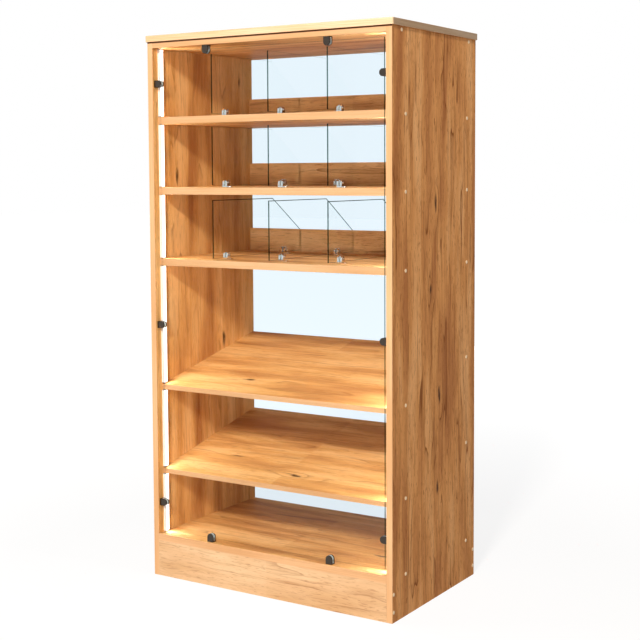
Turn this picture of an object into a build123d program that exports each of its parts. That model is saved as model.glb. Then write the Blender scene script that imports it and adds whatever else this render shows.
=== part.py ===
"""Shop display cabinet for bread and pastry, as separate boards, glass, clips and light runs.

Millimetres. X runs along the front, -Y is the front, +Z is up.
The origin is on the floor, under the middle of the cabinet.
"""

import os
from math import cos, radians, sin, sqrt, tan

from build123d import *

os.makedirs("parts", exist_ok=True)

# Overall size
cabinet_width = 1000.0
cabinet_depth = 610.0
cabinet_height = 1960.0

# Board thicknesses
side_thickness = 22.0
slab_thickness = 22.0
top_thickness = 22.0
level_thickness = 25.0
slant_thickness = 18.0
rail_thickness = 18.0
plinth_thickness = 18.0
band_thickness = 2.0
band_edge_radius = 0.8

# Slab
slab_overhang = 7.0
slab_corner_radius = 10.0

# Upper face of the bottom panel, then shelves by their share of the height inside
bottom_top = 155.0
level_shares = (0.8615, 0.7184, 0.5724)
slant_shares = (0.3106, 0.1346)
slant_angle = 13.0
shelf_recess = 30.0
rail_height = 88.0

# Front pane and its clips
pane_thickness = 6.0
pane_setback = 15.0
pane_edge_gap = 14.0
pane_chamfer = 0.8
clip_width = 25.0
clip_reach = 30.0
clip_body_depth = 20.0
clip_slot_depth = 10.0
clip_web = 4.0
clip_chamfer = 1.2
clip_grub_height = 21.0
clip_side_shares = (0.9282, 0.4367, 0.0656)
clip_row_share = 0.5
pad_inset = 1.0

# Glass dividers and their clips
bay_count = 4
divider_thickness = 5.0
divider_top_gap = 14.0
divider_rear_height = 82.0
divider_slope_share = 0.665
divider_front_gap = 2.0
divider_rear_gap = 4.0
divider_chamfer = 0.6
fork_width = 20.0
fork_length = 20.0
fork_height = 26.0
fork_slot = 7.0
fork_base = 6.0
fork_foot_width = 16.0
fork_foot_reach = 15.0
fork_foot_thickness = 4.0
fork_clamp_height = 16.0
fork_shares = (0.185, 0.782)
liner_base = 1.0

# Light runs
light_setback = 40.0
light_width = 20.0
light_height = 10.0
light_wall = 1.5
light_end_gap = 2.0
light_cap = 1.5
tape_width = 10.0
tape_thickness = 1.2
cover_thickness = 1.5
lead_diameter = 3.0
lead_inset = 5.5
lead_hole = 5.0
lead_reach_in = 3.0

# Driver and mains entry
driver_length = 180.0
driver_width = 44.0
driver_height = 26.0
driver_ear = 14.0
driver_ear_thickness = 3.0
mains_lead_diameter = 6.0
mains_height = 112.0
lead_run_drop = 10.0
inlet_flange_width = 66.0
inlet_flange_height = 32.0
inlet_flange_thickness = 3.0
inlet_body_width = 46.0
inlet_body_height = 27.0
inlet_body_depth = 34.0
socket_width = 24.4
socket_height = 16.6
socket_depth = 17.0
socket_x = -9.0
rocker_x = 14.0
rocker_width = 11.0
rocker_height = 19.0
rocker_pit_depth = 12.0
rocker_side_gap = 0.5
rocker_end_gap = 1.0
rocker_pivot_depth = 4.0
rocker_pin_diameter = 3.0
rocker_pin_clearance = 0.08
rocker_tilt = 8.0

# Fastenings
screw_shares = (0.149, 0.889)
top_screw_shares = (0.105, 0.907)
screw_head_diameter = 10.0
screw_head_height = 4.0
screw_shank_diameter = 7.0
screw_core_diameter = 5.0
screw_length = 50.0
screw_socket = 4.0
screw_socket_depth = 3.0
cap_diameter = 12.5
cap_thickness = 1.2
cap_stem_length = 2.6
dowel_diameter = 8.0
dowel_length = 30.0
small_screw_diameter = 4.0
small_screw_head = 7.6
small_screw_length = 18.0
fit = 0.05

# Derived places
half_width = cabinet_width / 2
inner_half = half_width - side_thickness
inner_width = 2 * inner_half
front_y = -cabinet_depth / 2
back_y = cabinet_depth / 2
carcass_height = cabinet_height - slab_thickness
top_underside = carcass_height - top_thickness
plinth_height = bottom_top - level_thickness
shelf_front_y = front_y + shelf_recess
rail_front_y = back_y - rail_thickness
pane_y = front_y + pane_setback + pane_thickness / 2
light_y = front_y + light_setback
inside_height = top_underside - bottom_top
level_tops = [bottom_top + inside_height * share for share in level_shares]
slant_front_tops = [bottom_top + inside_height * share for share in slant_shares]
clip_side_heights = [bottom_top + inside_height * share for share in clip_side_shares]
clip_row_x = half_width * clip_row_share
divider_lift = fork_base + liner_base
level_pitch = min(upper - lower for upper, lower in zip(level_tops, level_tops[1:]))
divider_height = level_pitch - level_thickness - divider_lift - divider_top_gap
slant_rise = tan(radians(slant_angle))
slant_drop = slant_thickness / cos(radians(slant_angle))
bay_width = inner_width / bay_count
divider_xs = [(i + 1) * bay_width - inner_half for i in range(bay_count - 1)]
sides = (-1, 1)


def save(piece, label):
    """Label a finished piece and write it under its own name."""
    piece.part.label = label
    export_step(piece.part, f"parts/{label}.step")


def circles(plane, sites, radius):
    """Equal circles at the given places of a plane."""
    with BuildSketch(plane) as rounds:
        with Locations(*sites):
            Circle(radius)
    return rounds.sketch


def slant_top_at(front_top, y):
    """Height of a slanted shelf's upper face at depth y."""
    return front_top + (y - shelf_front_y) * slant_rise


def slant_middle_at(front_top, y):
    """Height of a slanted shelf's middle at depth y."""
    return slant_top_at(front_top, y) - slant_drop / 2


# Assembly screws: two in each board end, and two above each other in each plinth end
screw_ys = [front_y + cabinet_depth * share for share in screw_shares]
top_screw_ys = [front_y + cabinet_depth * share for share in top_screw_shares]
plinth_screw_heights = (plinth_height * 0.27, plinth_height * 0.73)


def level_sites(middle_z):
    """Screw places at the end of a level board."""
    return [(y, middle_z) for y in screw_ys]


def slant_sites(front_top):
    """Screw places at the end of a slanted board."""
    return [(y, slant_middle_at(front_top, y)) for y in screw_ys]


top_sites = [(y, carcass_height - top_thickness / 2) for y in top_screw_ys]
bottom_sites = level_sites(bottom_top - level_thickness / 2)
shelf_sites = [level_sites(top_z - level_thickness / 2) for top_z in level_tops]
slanted_sites = [slant_sites(front_top) for front_top in slant_front_tops]
plinth_front_sites = [(front_y + plinth_thickness / 2, z) for z in plinth_screw_heights]
plinth_rear_sites = [(back_y - plinth_thickness / 2, z) for z in plinth_screw_heights]
all_sites = top_sites + bottom_sites + plinth_front_sites + plinth_rear_sites
all_sites += [site for sites in shelf_sites + slanted_sites for site in sites]

# Dowels: two above each other in each end of a rail
rail_y = back_y - rail_thickness / 2
dowel_parts = (0.25, 0.75)
rail_sites = [[(rail_y, top_z + rail_height * part) for part in dowel_parts] for top_z in level_tops]
dowel_sites = [site for sites in rail_sites for site in sites]
dowel_in_side = dowel_length * 0.4
dowel_in_rail = dowel_length - dowel_in_side

# Light runs: lower and upper end of each, compartments counted from the top
light_front_y = light_y - light_width / 2
light_rear_y = light_y + light_width / 2
floors = level_tops + [slant_top_at(front_top, light_rear_y) for front_top in slant_front_tops]
floors += [bottom_top]
ceilings = [top_underside] + [top_z - level_thickness for top_z in level_tops]
ceilings += [slant_top_at(front_top, light_front_y) - slant_drop for front_top in slant_front_tops]
light_runs = [(low + light_end_gap, high - light_end_gap) for low, high in zip(floors, ceilings)]
lead_x = inner_half - lead_inset

# Clip places: bottom, top, left and right, turned so that the flat side meets its board
clip_places = [Location((x, pane_y, bottom_top), (0, 0, 0)) for x in (-clip_row_x, clip_row_x)]
clip_places += [Location((x, pane_y, top_underside), (0, 180, 0)) for x in (-clip_row_x, clip_row_x)]
clip_places += [Location((-inner_half, pane_y, z), (0, 90, 0)) for z in clip_side_heights]
clip_places += [Location((inner_half, pane_y, z), (0, -90, 0)) for z in clip_side_heights]
clip_row_sites = [(-clip_row_x, pane_y), (clip_row_x, pane_y)]
clip_side_sites = [(pane_y, z) for z in clip_side_heights]

# Divider clips: one near the front and one near the rear of each divider, on each level shelf
fork_ys = [front_y + cabinet_depth * share for share in fork_shares]
fork_sites = [(x, y) for x in divider_xs for y in fork_ys]
fork_places = [Location((x, y, top_z)) for top_z in level_tops for x, y in fork_sites]
fork_screw_x = fork_width / 2 + fork_foot_reach - fork_foot_width / 2
fork_screw_sites = [(x + fork_screw_x, y) for x, y in fork_sites]


def countersunk_screw(shank, head, length):
    """A countersunk screw that points down, with the top of its head on z = 0."""
    head_height = (head - shank) / 2
    with BuildPart() as screw:
        with BuildSketch(Plane.XZ):
            with BuildLine():
                Polyline(
                    (0, 0),
                    (head / 2, 0),
                    (shank / 2, -head_height),
                    (shank / 2, shank / 2 - length),
                    (0, -length),
                    close=True,
                )
            make_face()
        revolve(axis=Axis.Z)
        with BuildSketch(Plane.XY):
            Rectangle(head * 0.6, head * 0.14)
            Rectangle(head * 0.14, head * 0.6)
        extrude(amount=-head_height * 0.8, mode=Mode.SUBTRACT)
    return screw.part


# Side panels
for side, name in zip(sides, ("left", "right")):
    with BuildPart() as side_panel:
        with BuildSketch(Plane.XY):
            with Locations((side * (half_width - side_thickness / 2), band_thickness / 2)):
                Rectangle(side_thickness, cabinet_depth - band_thickness)
        extrude(amount=carcass_height)
        extrude(
            circles(Plane.YZ.offset(side * half_width), all_sites, screw_shank_diameter / 2 + fit),
            amount=-side * side_thickness,
            mode=Mode.SUBTRACT,
        )
        extrude(
            circles(Plane.YZ.offset(side * half_width), all_sites, screw_head_diameter / 2 + fit),
            amount=-side * screw_head_height,
            mode=Mode.SUBTRACT,
        )
        extrude(
            circles(Plane.YZ.offset(side * inner_half), dowel_sites, dowel_diameter / 2 + fit),
            amount=side * dowel_in_side,
            mode=Mode.SUBTRACT,
        )
        extrude(
            circles(Plane.YZ.offset(side * inner_half), clip_side_sites, small_screw_diameter / 2 + fit),
            amount=side * small_screw_length,
            mode=Mode.SUBTRACT,
        )
    save(side_panel, f"side_panel_{name}")

    with BuildPart() as side_band:
        with BuildSketch(Plane.XY):
            with Locations((side * (half_width - side_thickness / 2), front_y + band_thickness / 2)):
                Rectangle(side_thickness, band_thickness)
        extrude(amount=carcass_height)
        front_face = side_band.faces().sort_by(Axis.Y)[0]
        fillet(front_face.edges().filter_by(Axis.Z), band_edge_radius)
    save(side_band, f"side_band_{name}")


# Top slab, and the band wrapped around its edge
slab_width = cabinet_width + 2 * slab_overhang
slab_depth = cabinet_depth + 2 * slab_overhang
slab_screw_xs = (-inner_half * 0.8, 0, inner_half * 0.8)
slab_screw_ys = (-cabinet_depth * 0.3, cabinet_depth * 0.3)
slab_screw_sites = [(x, y) for x in slab_screw_xs for y in slab_screw_ys]
slab_screw_head_recess = 5.0
slab_screw_length = 30.0

with BuildPart() as top_slab:
    with BuildSketch(Plane.XY.offset(carcass_height)):
        RectangleRounded(
            slab_width - 2 * band_thickness,
            slab_depth - 2 * band_thickness,
            slab_corner_radius - band_thickness + 2 * fit,
        )
    extrude(amount=slab_thickness)
    extrude(
        circles(Plane.XY.offset(carcass_height), slab_screw_sites, small_screw_diameter / 2 + fit),
        amount=slab_thickness * 0.75,
        mode=Mode.SUBTRACT,
    )
save(top_slab, "top_slab")

with BuildPart() as top_slab_band:
    with BuildSketch(Plane.XY.offset(carcass_height)):
        RectangleRounded(slab_width, slab_depth, slab_corner_radius)
        RectangleRounded(
            slab_width - 2 * band_thickness,
            slab_depth - 2 * band_thickness,
            slab_corner_radius - band_thickness,
            mode=Mode.SUBTRACT,
        )
    extrude(amount=slab_thickness)
    for face in (top_slab_band.faces().sort_by(Axis.Z)[-1], top_slab_band.faces().sort_by(Axis.Z)[0]):
        fillet(face.outer_wire().edges(), band_edge_radius)
save(top_slab_band, "top_slab_band")


def end_holes(piece_sites):
    """Screw core holes in both ends of a board between the sides."""
    for side in sides:
        extrude(
            circles(Plane.YZ.offset(side * inner_half), piece_sites, screw_core_diameter / 2 + fit),
            amount=-side * (screw_length - side_thickness + 1.0),
            mode=Mode.SUBTRACT,
        )


def lead_holes(low_z, high_z):
    """Upright holes for the light leads near both ends of a board."""
    extrude(
        circles(Plane.XY.offset(low_z), [(-lead_x, light_y), (lead_x, light_y)], lead_hole / 2),
        amount=high_z - low_z,
        mode=Mode.SUBTRACT,
    )


def board_band(front, low_z, high_z, label):
    """Front edge band of a level board."""
    with BuildPart() as band:
        with BuildSketch(Plane.XY.offset(low_z)):
            with Locations((0, front + band_thickness / 2)):
                Rectangle(inner_width, band_thickness)
        extrude(amount=high_z - low_z)
        front_face = band.faces().sort_by(Axis.Y)[0]
        fillet(front_face.edges().filter_by(Axis.X), band_edge_radius)
    save(band, label)


# Carcass top, screwed up into the slab
with BuildPart() as carcass_top:
    with BuildSketch(Plane.XY.offset(top_underside)):
        with Locations((0, band_thickness / 2)):
            Rectangle(inner_width, cabinet_depth - band_thickness)
    extrude(amount=top_thickness)
    end_holes(top_sites)
    extrude(
        circles(Plane.XY.offset(top_underside), slab_screw_sites, small_screw_diameter / 2 + fit),
        amount=top_thickness,
        mode=Mode.SUBTRACT,
    )
    extrude(
        circles(Plane.XY.offset(top_underside), slab_screw_sites, small_screw_head / 2 + fit),
        amount=slab_screw_head_recess,
        mode=Mode.SUBTRACT,
    )
    extrude(
        circles(Plane.XY.offset(top_underside), clip_row_sites, small_screw_diameter / 2 + fit),
        amount=small_screw_length,
        mode=Mode.SUBTRACT,
    )
save(carcass_top, "carcass_top")
board_band(front_y, top_underside, carcass_height, "carcass_top_band")

# Bottom panel
driver_screw_x = driver_length / 2 - driver_ear / 2
driver_screw_sites = [(-driver_screw_x, light_y), (driver_screw_x, light_y)]
with BuildPart() as bottom_panel:
    with BuildSketch(Plane.XY.offset(plinth_height)):
        with Locations((0, band_thickness / 2)):
            Rectangle(inner_width, cabinet_depth - band_thickness)
    extrude(amount=level_thickness)
    end_holes(bottom_sites)
    lead_holes(plinth_height, bottom_top)
    extrude(
        circles(Plane.XY.offset(bottom_top), clip_row_sites, small_screw_diameter / 2 + fit),
        amount=-small_screw_length,
        mode=Mode.SUBTRACT,
    )
    extrude(
        circles(Plane.XY.offset(plinth_height), driver_screw_sites, small_screw_diameter / 2 + fit),
        amount=small_screw_length,
        mode=Mode.SUBTRACT,
    )
save(bottom_panel, "bottom_panel")
board_band(front_y, plinth_height, bottom_top, "bottom_panel_band")

# Plinth boards
inlet_z = mains_height - inlet_body_height / 4
inlet_screw_x = inlet_flange_width / 2 - 5.0
inlet_screw_diameter = 3.0
inlet_screw_head = 5.6
inlet_screw_length = 14.0
inlet_screw_sites = [(-inlet_screw_x, inlet_z), (inlet_screw_x, inlet_z)]

with BuildPart() as plinth_front:
    with BuildSketch(Plane.XY):
        with Locations((0, front_y + plinth_thickness / 2)):
            Rectangle(inner_width, plinth_thickness)
    extrude(amount=plinth_height)
    end_holes(plinth_front_sites)
save(plinth_front, "plinth_front")

with BuildPart() as plinth_rear:
    with BuildSketch(Plane.XY):
        with Locations((0, back_y - plinth_thickness / 2)):
            Rectangle(inner_width, plinth_thickness)
    extrude(amount=plinth_height)
    end_holes(plinth_rear_sites)
    with BuildSketch(Plane.XZ.offset(-back_y)):
        with Locations((0, inlet_z)):
            Rectangle(inlet_body_width + 2 * fit, inlet_body_height + 2 * fit)
    extrude(amount=plinth_thickness, mode=Mode.SUBTRACT)
    extrude(
        circles(Plane.XZ.offset(-back_y), inlet_screw_sites, inlet_screw_diameter / 2 + fit),
        amount=inlet_screw_length,
        mode=Mode.SUBTRACT,
    )
save(plinth_rear, "plinth_rear")


def fork_screw_holes(top_z):
    """Screw holes for the feet of the divider clips in a level shelf."""
    extrude(
        circles(Plane.XY.offset(top_z), fork_screw_sites, small_screw_diameter / 2 + fit),
        amount=-small_screw_length,
        mode=Mode.SUBTRACT,
    )


# Level shelves with their bands and rear rails
for number, (top_z, end_sites, sites) in enumerate(zip(level_tops, shelf_sites, rail_sites), 1):
    with BuildPart() as level_shelf:
        with BuildSketch(Plane.XY.offset(top_z - level_thickness)):
            with Locations((0, (shelf_front_y + band_thickness + back_y) / 2)):
                Rectangle(inner_width, back_y - shelf_front_y - band_thickness)
        extrude(amount=level_thickness)
        end_holes(end_sites)
        lead_holes(top_z - level_thickness, top_z)
        fork_screw_holes(top_z)
    save(level_shelf, f"level_shelf_{number}")
    board_band(shelf_front_y, top_z - level_thickness, top_z, f"level_shelf_band_{number}")

    with BuildPart() as back_rail:
        with BuildSketch(Plane.XY.offset(top_z)):
            with Locations((0, rail_y)):
                Rectangle(inner_width, rail_thickness)
        extrude(amount=rail_height)
        fillet(back_rail.edges().filter_by(Axis.X).group_by(Axis.Z)[-1], band_edge_radius)
        for side in sides:
            extrude(
                circles(Plane.YZ.offset(side * inner_half), sites, dowel_diameter / 2 + fit),
                amount=-side * dowel_in_rail,
                mode=Mode.SUBTRACT,
            )
    save(back_rail, f"back_rail_{number}")


# Slanted shelves with their bands
slant_level_run = back_y - shelf_front_y - slant_thickness * sin(radians(slant_angle))
slant_run = slant_level_run / cos(radians(slant_angle))
for number, (front_top, sites) in enumerate(zip(slant_front_tops, slanted_sites), 1):
    slope = Plane(
        origin=(0, shelf_front_y, front_top),
        x_dir=(0, cos(radians(slant_angle)), sin(radians(slant_angle))),
        z_dir=(1, 0, 0),
    )
    with BuildPart() as slanted_shelf:
        with BuildSketch(slope):
            with Locations((band_thickness, 0)):
                Rectangle(slant_run - band_thickness, slant_thickness, align=(Align.MIN, Align.MAX))
        extrude(amount=inner_half, both=True)
        end_holes(sites)
        lead_holes(front_top - 2 * slant_drop, front_top + 2 * slant_drop)
    save(slanted_shelf, f"slanted_shelf_{number}")

    with BuildPart() as slanted_band:
        with BuildSketch(slope):
            Rectangle(band_thickness, slant_thickness, align=(Align.MIN, Align.MAX))
        extrude(amount=inner_half, both=True)
        front_face = slanted_band.faces().sort_by(Axis.Y)[0]
        fillet(front_face.edges().filter_by(Axis.X), band_edge_radius)
    save(slanted_band, f"slanted_shelf_band_{number}")


# Front pane
pane_width = inner_width - 2 * pane_edge_gap
pane_low = bottom_top + pane_edge_gap
pane_high = top_underside - pane_edge_gap
with BuildPart() as front_glass:
    with BuildSketch(Plane.XZ.offset(-pane_y)):
        with Locations((0, (pane_low + pane_high) / 2)):
            Rectangle(pane_width, pane_high - pane_low)
    extrude(amount=pane_thickness / 2, both=True)
    for face in (front_glass.faces().sort_by(Axis.Y)[0], front_glass.faces().sort_by(Axis.Y)[-1]):
        chamfer(face.edges(), pane_chamfer)
save(front_glass, "front_glass")

# Glass dividers: tall at the front, sloping down to the height of the rail at the rear
divider_front_y = shelf_front_y + divider_front_gap
divider_rear_y = rail_front_y - divider_rear_gap
divider_slope_y = divider_front_y + (divider_rear_y - divider_front_y) * divider_slope_share
for number, top_z in enumerate(level_tops, 1):
    for bay, x in enumerate(divider_xs, 1):
        with BuildPart() as divider:
            with BuildSketch(Plane.YZ.offset(x)):
                with BuildLine():
                    Polyline(
                        (divider_front_y, top_z + divider_lift),
                        (divider_rear_y, top_z + divider_lift),
                        (divider_rear_y, top_z + divider_lift + divider_rear_height),
                        (divider_slope_y, top_z + divider_lift + divider_height),
                        (divider_front_y, top_z + divider_lift + divider_height),
                        close=True,
                    )
                make_face()
            extrude(amount=divider_thickness / 2, both=True)
            for face in (divider.faces().sort_by(Axis.X)[0], divider.faces().sort_by(Axis.X)[-1]):
                chamfer(face.edges(), divider_chamfer)
        save(divider, f"divider_{number}_{bay}")


# Front glass clip, modelled once with its flat side on z = 0 and the pane's middle on y = 0
def tongue(plane, width, reach, base):
    """A tongue with a half-round end, from base to reach along the plane's second axis."""
    with BuildSketch(plane) as outline:
        with BuildLine():
            Polyline(
                (-width / 2, reach - width / 2),
                (-width / 2, base),
                (width / 2, base),
                (width / 2, reach - width / 2),
            )
            ThreePointArc(
                (width / 2, reach - width / 2),
                (0, reach),
                (-width / 2, reach - width / 2),
            )
        make_face()
    return outline.sketch


clip_plate = (clip_body_depth - clip_slot_depth) / 2
clip_grub_diameter = 5.0
clip_grub_length = clip_plate - 0.4
clip_grub_socket = 2.5
clip_grub_socket_depth = 2.5
clip_grub_plane = Plane.XZ.offset(-clip_slot_depth / 2)

with BuildPart() as clip_body:
    extrude(tongue(Plane.XZ, clip_width, clip_reach, 0), amount=clip_body_depth / 2, both=True)
    for face in (clip_body.faces().sort_by(Axis.Y)[0], clip_body.faces().sort_by(Axis.Y)[-1]):
        chamfer(face.edges().sort_by(Axis.Z)[1:], clip_chamfer)
    with BuildSketch(Plane.YZ):
        with Locations((0, clip_web)):
            Rectangle(clip_slot_depth, clip_reach, align=(Align.CENTER, Align.MIN))
    extrude(amount=clip_width, both=True, mode=Mode.SUBTRACT)
    with Locations((0, 0, clip_web)):
        CounterSinkHole(
            small_screw_diameter / 2 + fit,
            small_screw_head / 2 + fit,
            depth=clip_web,
            counter_sink_angle=90,
        )
    extrude(
        circles(clip_grub_plane, [(0, clip_grub_height)], clip_grub_diameter / 2 + fit),
        amount=-clip_plate,
        mode=Mode.SUBTRACT,
    )

with BuildPart() as clip_pad:
    extrude(
        tongue(Plane.XZ, clip_width - 2 * pad_inset, clip_reach - pad_inset, clip_web),
        amount=clip_slot_depth / 2,
        both=True,
    )
    with BuildSketch(Plane.YZ):
        with Locations((0, pane_edge_gap)):
            Rectangle(pane_thickness, clip_reach, align=(Align.CENTER, Align.MIN))
    extrude(amount=clip_width, both=True, mode=Mode.SUBTRACT)

with BuildPart() as clip_grub:
    with BuildSketch(clip_grub_plane):
        with Locations((0, clip_grub_height)):
            Circle(clip_grub_diameter / 2)
    extrude(amount=-clip_grub_length)
    with BuildSketch(Plane.XZ.offset(-clip_slot_depth / 2 - clip_grub_length)):
        with Locations((0, clip_grub_height)):
            RegularPolygon(clip_grub_socket / sqrt(3), 6)
    extrude(amount=clip_grub_socket_depth, mode=Mode.SUBTRACT)

clip_screw = countersunk_screw(small_screw_diameter, small_screw_head, small_screw_length)
clip_screw.position = (0, 0, clip_web)

for master, label in (
    (clip_body.part, "glass_clips"),
    (clip_pad.part, "glass_clip_pads"),
    (clip_screw, "glass_clip_screws"),
    (clip_grub.part, "glass_clip_grub_screws"),
):
    with BuildPart() as clip_group:
        with Locations(*clip_places):
            add(master)
    save(clip_group, label)


# Divider clip, modelled once with its base on z = 0 and the divider's middle on x = 0
fork_ear = (fork_width - fork_slot) / 2
fork_chamfer = 0.8
fork_clamp_diameter = 4.0
fork_clamp_head = 9.0
fork_clamp_head_height = 3.0
fork_clamp_socket = 3.0
fork_clamp_socket_depth = 1.8
fork_foot_plane = Plane(origin=(0, 0, 0), x_dir=(0, -1, 0), z_dir=(0, 0, 1))

with BuildPart() as fork_body:
    extrude(tongue(Plane.YZ, fork_length, fork_height, 0), amount=fork_width / 2, both=True)
    for face in (fork_body.faces().sort_by(Axis.X)[0], fork_body.faces().sort_by(Axis.X)[-1]):
        chamfer(face.edges().sort_by(Axis.Z)[1:], fork_chamfer)
    with BuildSketch(Plane.XZ):
        with Locations((0, fork_base)):
            Rectangle(fork_slot, fork_height, align=(Align.CENTER, Align.MIN))
    extrude(amount=fork_length, both=True, mode=Mode.SUBTRACT)
    extrude(
        tongue(fork_foot_plane, fork_foot_width, fork_width / 2 + fork_foot_reach, fork_slot / 2),
        amount=fork_foot_thickness,
    )
    with Locations((fork_screw_x, 0, fork_foot_thickness)):
        CounterSinkHole(
            small_screw_diameter / 2 + fit,
            small_screw_head / 2 + fit,
            depth=fork_foot_thickness,
            counter_sink_angle=90,
        )
    extrude(
        circles(Plane.YZ.offset(fork_slot / 2), [(0, fork_clamp_height)], fork_clamp_diameter / 2 + fit),
        amount=fork_ear,
        mode=Mode.SUBTRACT,
    )

with BuildPart() as fork_liner:
    extrude(
        tongue(Plane.YZ, fork_length - 2 * pad_inset, fork_height - pad_inset, fork_base),
        amount=fork_slot / 2,
        both=True,
    )
    with BuildSketch(Plane.XZ):
        with Locations((0, fork_base + liner_base)):
            Rectangle(divider_thickness, fork_height, align=(Align.CENTER, Align.MIN))
    extrude(amount=fork_length, both=True, mode=Mode.SUBTRACT)

with BuildPart() as fork_clamp:
    extrude(
        circles(Plane.YZ.offset(fork_slot / 2), [(0, fork_clamp_height)], fork_clamp_diameter / 2),
        amount=fork_ear,
    )
    extrude(
        circles(Plane.YZ.offset(fork_width / 2), [(0, fork_clamp_height)], fork_clamp_head / 2),
        amount=fork_clamp_head_height,
    )
    chamfer(fork_clamp.faces().sort_by(Axis.X)[-1].edges(), fork_chamfer)
    with BuildSketch(Plane.YZ.offset(fork_width / 2 + fork_clamp_head_height)):
        with Locations((0, fork_clamp_height)):
            RegularPolygon(fork_clamp_socket / sqrt(3), 6)
    extrude(amount=-fork_clamp_socket_depth, mode=Mode.SUBTRACT)

fork_screw = countersunk_screw(small_screw_diameter, small_screw_head, small_screw_length)
fork_screw.position = (fork_screw_x, 0, fork_foot_thickness)

for master, label in (
    (fork_body.part, "divider_clips"),
    (fork_liner.part, "divider_clip_liners"),
    (fork_screw, "divider_clip_screws"),
    (fork_clamp.part, "divider_clip_clamp_screws"),
):
    with BuildPart() as fork_group:
        with Locations(*fork_places):
            add(master)
    save(fork_group, label)


# Light runs on both inner side faces, one in each compartment
with BuildPart() as light_profiles:
    for side in sides:
        for low, high in light_runs:
            with BuildSketch(Plane.XY.offset(low + light_cap)):
                with Locations((side * (inner_half - light_height / 2), light_y)):
                    Rectangle(light_height, light_width)
                with Locations((side * (inner_half - (light_height + light_wall) / 2), light_y)):
                    Rectangle(
                        light_height - light_wall,
                        light_width - 2 * light_wall,
                        mode=Mode.SUBTRACT,
                    )
            extrude(amount=high - low - 2 * light_cap)
save(light_profiles, "light_profiles")

with BuildPart() as light_tapes:
    for side in sides:
        for low, high in light_runs:
            with BuildSketch(Plane.XY.offset(low + light_cap)):
                with Locations((side * (inner_half - light_wall - tape_thickness / 2), light_y)):
                    Rectangle(tape_thickness, tape_width)
            extrude(amount=high - low - 2 * light_cap)
save(light_tapes, "light_tapes")

with BuildPart() as light_covers:
    for side in sides:
        for low, high in light_runs:
            with BuildSketch(Plane.XY.offset(low + light_cap)):
                with Locations((side * (inner_half - light_height + cover_thickness / 2), light_y)):
                    Rectangle(cover_thickness, light_width - 2 * light_wall)
            extrude(amount=high - low - 2 * light_cap)
save(light_covers, "light_covers")

with BuildPart() as light_end_caps:
    for side in sides:
        for low, high in light_runs:
            for cap_z in (low, high - light_cap):
                with BuildSketch(Plane.XY.offset(cap_z)):
                    with Locations((side * (inner_half - light_height / 2), light_y)):
                        Rectangle(light_height, light_width)
                    with Locations((side * lead_x, light_y)):
                        Circle(lead_diameter / 2 + fit, mode=Mode.SUBTRACT)
                extrude(amount=light_cap)
save(light_end_caps, "light_end_caps")

# Leads: short links through the boards, and one from each lowest run to the driver
lead_end_x = driver_length / 2 - driver_ear
lead_run_z = plinth_height - lead_run_drop
lead_start_z = light_runs[-1][0] + light_cap + lead_reach_in
lead_bend = lead_run_drop - 1.0
with BuildPart() as light_leads:
    for side in sides:
        for upper, lower in zip(light_runs[:-1], light_runs[1:]):
            link_low = lower[1] - light_cap - lead_reach_in
            link_high = upper[0] + light_cap + lead_reach_in
            with BuildSketch(Plane.XY.offset(link_low)):
                with Locations((side * lead_x, light_y)):
                    Circle(lead_diameter / 2)
            extrude(amount=link_high - link_low)
        with BuildLine() as lead_path:
            FilletPolyline(
                (side * lead_x, light_y, lead_start_z),
                (side * lead_x, light_y, lead_run_z),
                (side * lead_end_x, light_y, lead_run_z),
                radius=lead_bend,
            )
        with BuildSketch(Plane(origin=(side * lead_x, light_y, lead_start_z), z_dir=(0, 0, -1))):
            Circle(lead_diameter / 2)
        sweep(path=lead_path.line)
save(light_leads, "light_leads")

# Driver under the bottom panel, on two ears
driver_body_length = driver_length - 2 * driver_ear
driver_screw_places = [
    Location((x, light_y, plinth_height - driver_ear_thickness), (180, 0, 0))
    for x in (-driver_screw_x, driver_screw_x)
]
with BuildPart() as light_driver:
    with BuildSketch(Plane.XY.offset(plinth_height)):
        with Locations((0, light_y)):
            Rectangle(driver_body_length, driver_width)
    extrude(amount=-driver_height)
    fillet(light_driver.edges().filter_by(Axis.Z), 3.0)
    fillet(light_driver.faces().sort_by(Axis.Z)[0].edges(), 1.5)
    with BuildSketch(Plane.XY.offset(plinth_height)):
        with Locations((0, light_y)):
            Rectangle(driver_length, driver_width / 2)
    extrude(amount=-driver_ear_thickness)
    with Locations(*driver_screw_places):
        CounterSinkHole(
            small_screw_diameter / 2 + fit,
            small_screw_head / 2 + fit,
            depth=driver_ear_thickness,
            counter_sink_angle=90,
        )
save(light_driver, "light_driver")

driver_screw = countersunk_screw(small_screw_diameter, small_screw_head, small_screw_length)
with BuildPart() as driver_screws:
    with Locations(*driver_screw_places):
        add(driver_screw)
save(driver_screws, "driver_screws")

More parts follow.
